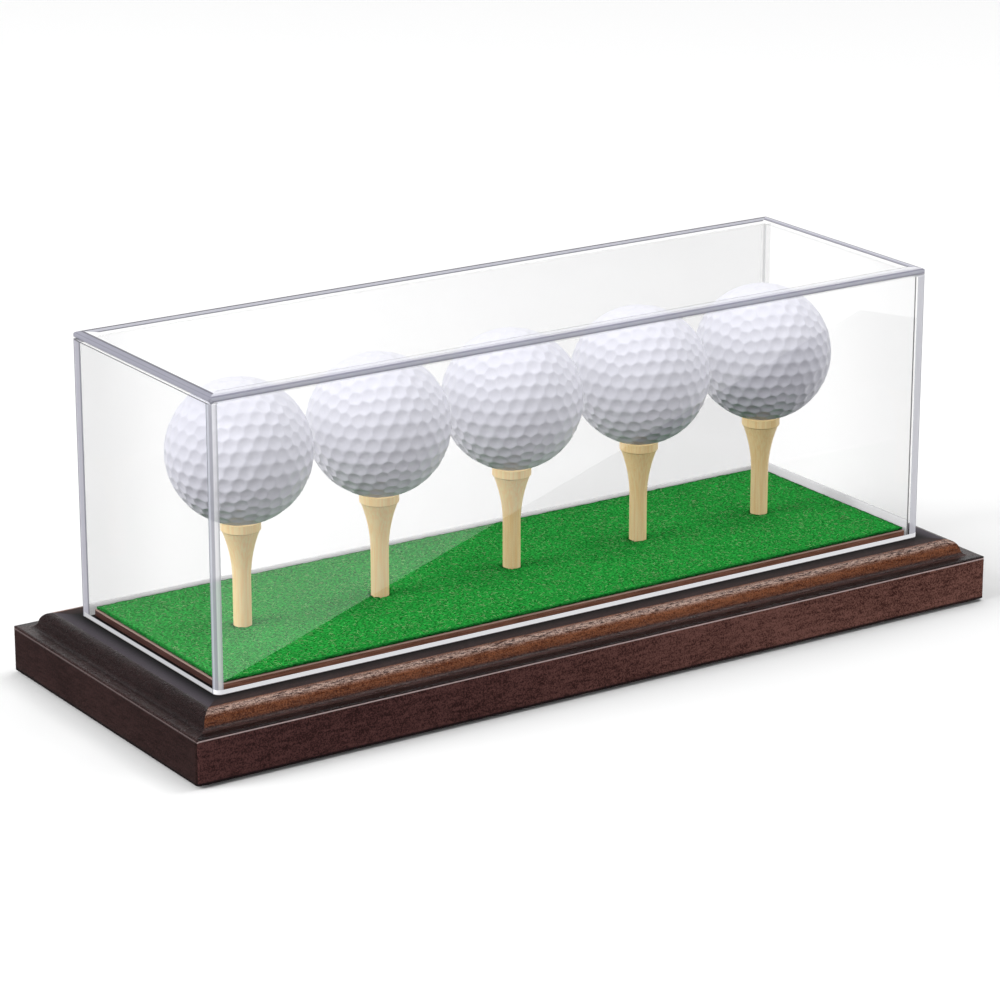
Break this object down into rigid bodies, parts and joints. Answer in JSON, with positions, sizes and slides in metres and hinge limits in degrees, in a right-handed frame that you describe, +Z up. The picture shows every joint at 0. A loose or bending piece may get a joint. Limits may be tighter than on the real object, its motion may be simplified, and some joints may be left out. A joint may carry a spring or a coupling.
{
  "type": "golf ball display case",
  "caption": "Display case with dimpled golf balls in a row on wooden tees, over a green mat on a moulded dark wood plinth, under a clear lift-off cover.",
  "frame": {"origin": "middle of the footprint, on the surface that the pads stand on", "axes": "+X along the row of balls, -Y towards the front, +Z up"},
  "size_m": [0.2796, 0.1104, 0.1057],
  "materials": {
    "plinth_wood": "dark stain under satin lacquer, fine open pores",
    "deck_wood": "brown stain, satin",
    "green_felt": "short-haired felt",
    "pad_rubber": "matt black",
    "tee_wood": "pale, smooth, lightly sealed",
    "ball_skin": "white, clear coated",
    "clear_acrylic": "clear, polished edges"
  },
  "bodies": {
    "base": {"plinth": "plinth_wood", "deck_board": "deck_wood", "turf_mat": "green_felt", "pad_front_left": "pad_rubber", "pad_front_right": "pad_rubber", "pad_rear_left": "pad_rubber", "pad_rear_right": "pad_rubber", "tee_1": "tee_wood", "tee_2": "tee_wood", "tee_3": "tee_wood", "tee_4": "tee_wood", "tee_5": "tee_wood"},
    "cover": {"cover_front": "clear_acrylic", "cover_back": "clear_acrylic", "cover_left": "clear_acrylic", "cover_right": "clear_acrylic", "cover_top": "clear_acrylic"},
    "ball_1": {"ball_1": "ball_skin"},
    "ball_2": {"ball_2": "ball_skin"},
    "ball_3": {"ball_3": "ball_skin"},
    "ball_4": {"ball_4": "ball_skin"},
    "ball_5": {"ball_5": "ball_skin"}
  },
  "joints": [
    {"name": "cover_lift", "type": "slide", "parent": "base", "child": "cover", "axis": [0, 0, 1], "range_m": [0, 0.1]},
    {"name": "ball_1_lift", "type": "slide", "parent": "base", "child": "ball_1", "axis": [0, 0, 1], "range_m": [0, 0.006]},
    {"name": "ball_2_lift", "type": "slide", "parent": "base", "child": "ball_2", "axis": [0, 0, 1], "range_m": [0, 0.006]},
    {"name": "ball_3_lift", "type": "slide", "parent": "base", "child": "ball_3", "axis": [0, 0, 1], "range_m": [0, 0.006]},
    {"name": "ball_4_lift", "type": "slide", "parent": "base", "child": "ball_4", "axis": [0, 0, 1], "range_m": [0, 0.006]},
    {"name": "ball_5_lift", "type": "slide", "parent": "base", "child": "ball_5", "axis": [0, 0, 1], "range_m": [0, 0.006]}
  ]
}
